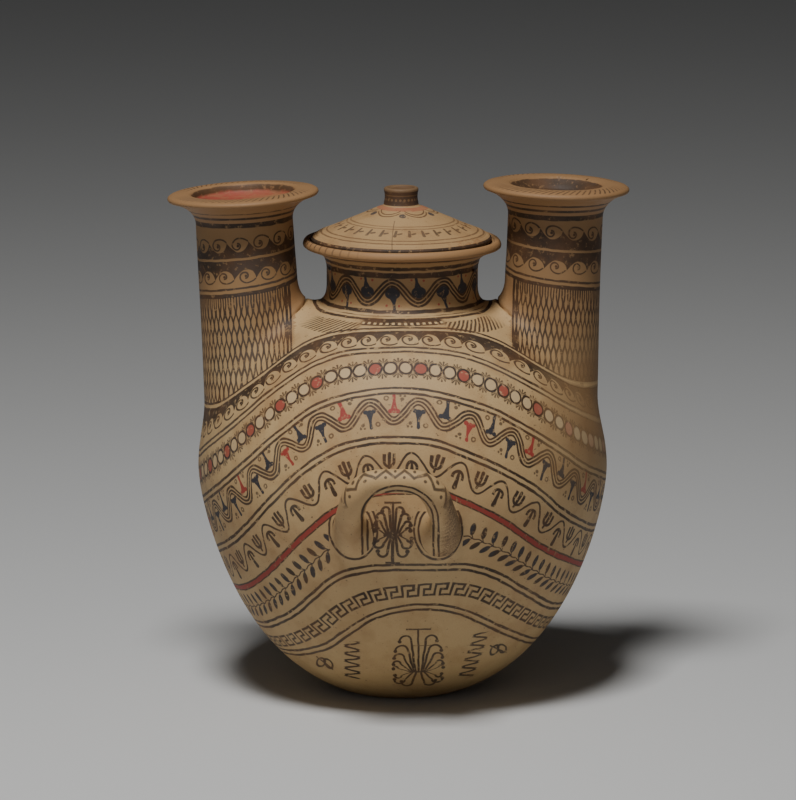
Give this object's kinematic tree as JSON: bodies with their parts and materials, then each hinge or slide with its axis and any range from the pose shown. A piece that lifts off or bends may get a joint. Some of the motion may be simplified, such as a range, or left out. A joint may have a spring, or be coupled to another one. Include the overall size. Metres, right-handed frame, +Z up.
{
  "type": "askos",
  "caption": "Round-bellied terracotta askos with a lidded middle neck, tall flared side necks and loop handles, painted in bands.",
  "frame": {"origin": "middle of the flat underside that the pot stands on", "axes": "+Z up through the middle neck, X along the row of three necks with the open side neck at +X, and the painted front with its handle towards -Y"},
  "size_m": [0.411, 0.4488, 0.4616],
  "materials": {
    "painted_clay": "matte cream-buff slip with dark brown and red painted bands, worn",
    "lid_clay": "matte buff clay with dark brown painted lines, worn"
  },
  "bodies": {
    "root": {"vessel": "painted_clay", "lid": "lid_clay"}
  },
  "joints": []
}
